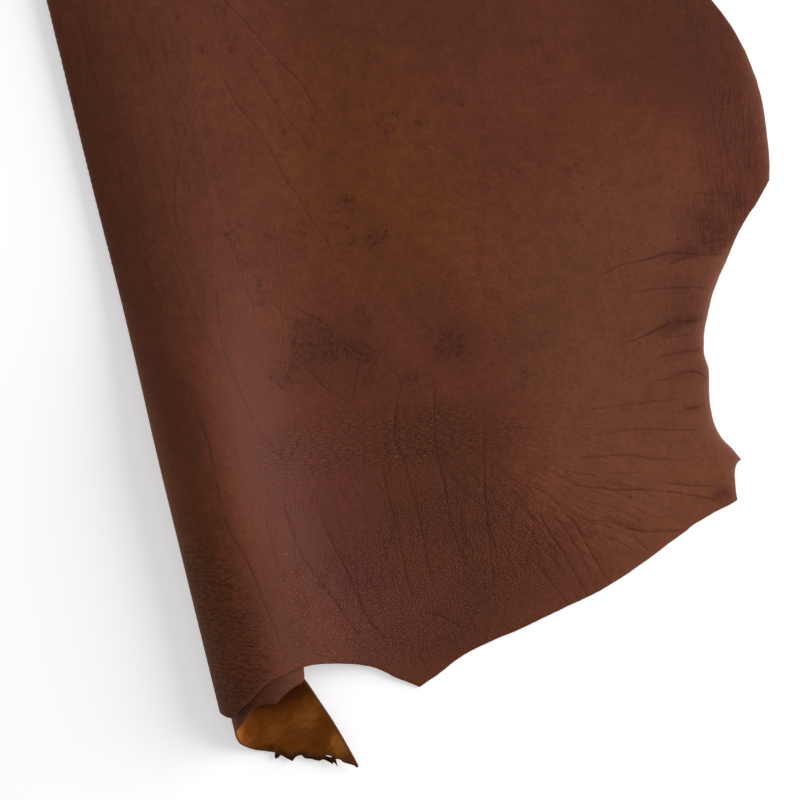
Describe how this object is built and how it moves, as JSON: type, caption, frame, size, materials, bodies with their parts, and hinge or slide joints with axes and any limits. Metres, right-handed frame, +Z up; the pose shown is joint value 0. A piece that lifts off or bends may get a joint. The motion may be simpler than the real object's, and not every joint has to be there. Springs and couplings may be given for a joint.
{
  "type": "leather hide croupon, part-rolled",
  "caption": "Thick brown leather croupon, laid flat grain side up, its left side loosely rolled in, with a natural waved outline and a loose corner showing the flesh side.",
  "frame": {"origin": "centre of the hide's footprint, on the surface it lies on", "axes": "+Y along the roll, from the waved near edge to the straight far cut; +X across the roll, from the roll at low X to the flank; +Z up"},
  "size_m": [0.7368, 0.9936, 0.0603],
  "materials": {
    "leather": "matt to satin brown full grain, waxed"
  },
  "bodies": {
    "root": {"leather_croupon": "leather"}
  },
  "joints": []
}
